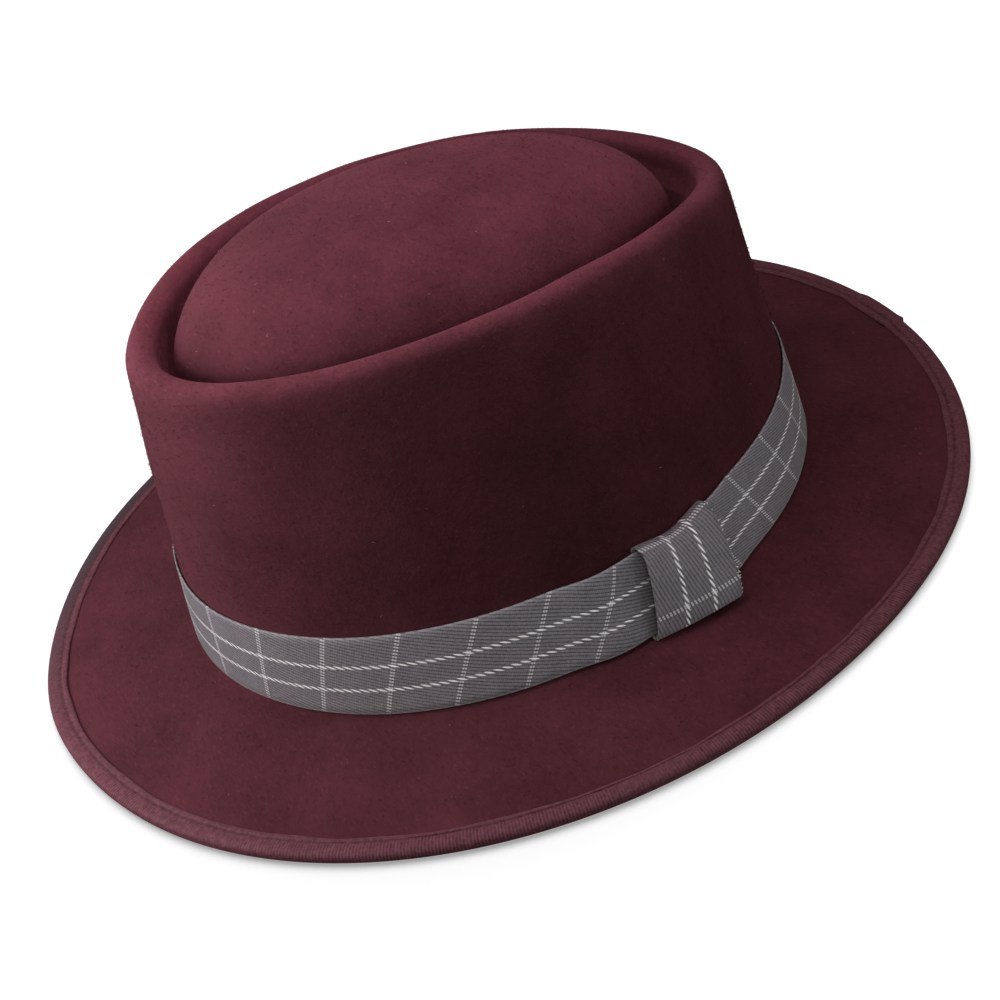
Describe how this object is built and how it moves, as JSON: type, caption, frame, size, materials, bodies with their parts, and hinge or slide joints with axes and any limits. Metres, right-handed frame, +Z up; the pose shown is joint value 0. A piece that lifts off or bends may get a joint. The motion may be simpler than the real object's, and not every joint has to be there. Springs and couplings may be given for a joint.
{
  "type": "porkpie hat",
  "caption": "Porkpie hat: blocked felt body with a telescope crease and domed tip, level brim with a grosgrain binding, and a ribbon band held by a loop.",
  "frame": {"origin": "on the surface that the hat rests on, under the middle of the brim", "axes": "+Z up out of the crown, -Y towards the front of the hat, +X towards the wearer's left, where the band's loop is"},
  "size_m": [0.2614, 0.3014, 0.116],
  "materials": {
    "wool_felt": "brushed wool felt, burgundy, soft short nap",
    "grosgrain": "ribbed grosgrain tape, burgundy",
    "check_ribbon": "grey twill ribbon with a plain white window check"
  },
  "bodies": {
    "root": {"felt_body": "wool_felt", "brim_binding": "grosgrain", "hat_band": "check_ribbon", "band_loop": "check_ribbon"}
  },
  "joints": []
}
